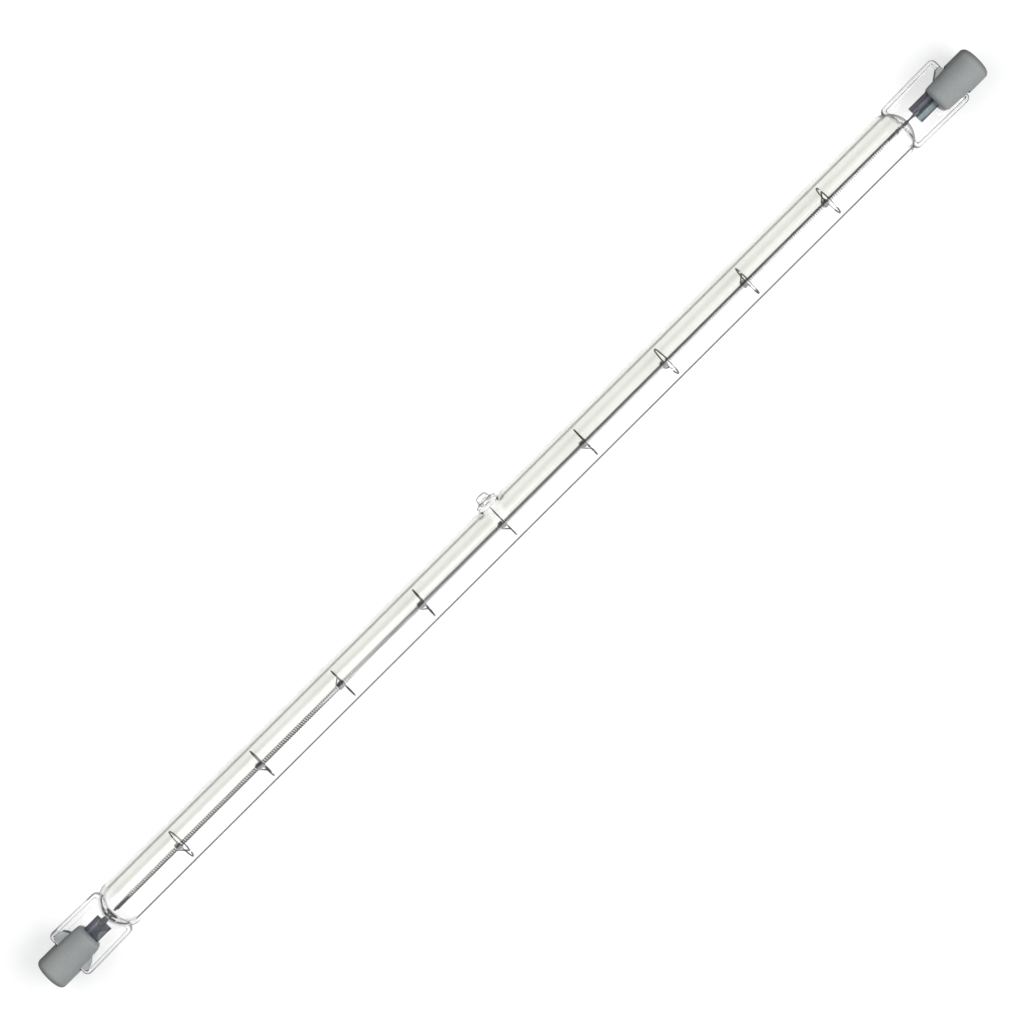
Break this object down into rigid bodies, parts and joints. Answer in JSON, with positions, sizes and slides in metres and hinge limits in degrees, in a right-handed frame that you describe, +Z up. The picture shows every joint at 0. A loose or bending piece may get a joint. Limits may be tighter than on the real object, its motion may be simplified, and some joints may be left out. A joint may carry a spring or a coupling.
{
  "type": "linear halogen bulb",
  "caption": "Long clear quartz tube bulb with a coiled filament held by wire rings on its axis, flat pressed seals and a slotted ceramic contact cap at each end.",
  "frame": {"origin": "middle of the bulb on the axis of its tube", "axes": "+X along the tube, +Y towards the melted exhaust tip, +Z up, square to the flat press seals; the tube lies on its side"},
  "size_m": [0.254, 0.0127, 0.01],
  "materials": {
    "quartz": "clear fused quartz, smooth",
    "tungsten": "drawn grey wire",
    "seal_foil": "dark etched foil in glass",
    "lead_wire": "drawn grey wire",
    "contact": "satin nickel",
    "ceramic": "unglazed matte",
    "cement": "matte, slightly grainy"
  },
  "bodies": {
    "root": {"quartz_envelope": "quartz", "filament": "tungsten", "filament_support_1": "tungsten", "filament_support_2": "tungsten", "filament_support_3": "tungsten", "filament_support_4": "tungsten", "filament_support_5": "tungsten", "filament_support_6": "tungsten", "filament_support_7": "tungsten", "filament_support_8": "tungsten", "filament_support_9": "tungsten", "seal_foil_left": "seal_foil", "seal_foil_right": "seal_foil", "inner_lead_left": "lead_wire", "inner_lead_right": "lead_wire", "outer_lead_left": "lead_wire", "outer_lead_right": "lead_wire", "contact_button_left": "contact", "contact_button_right": "contact", "ceramic_cap_left": "ceramic", "ceramic_cap_right": "ceramic", "cap_cement_left": "cement", "cap_cement_right": "cement"}
  },
  "joints": []
}
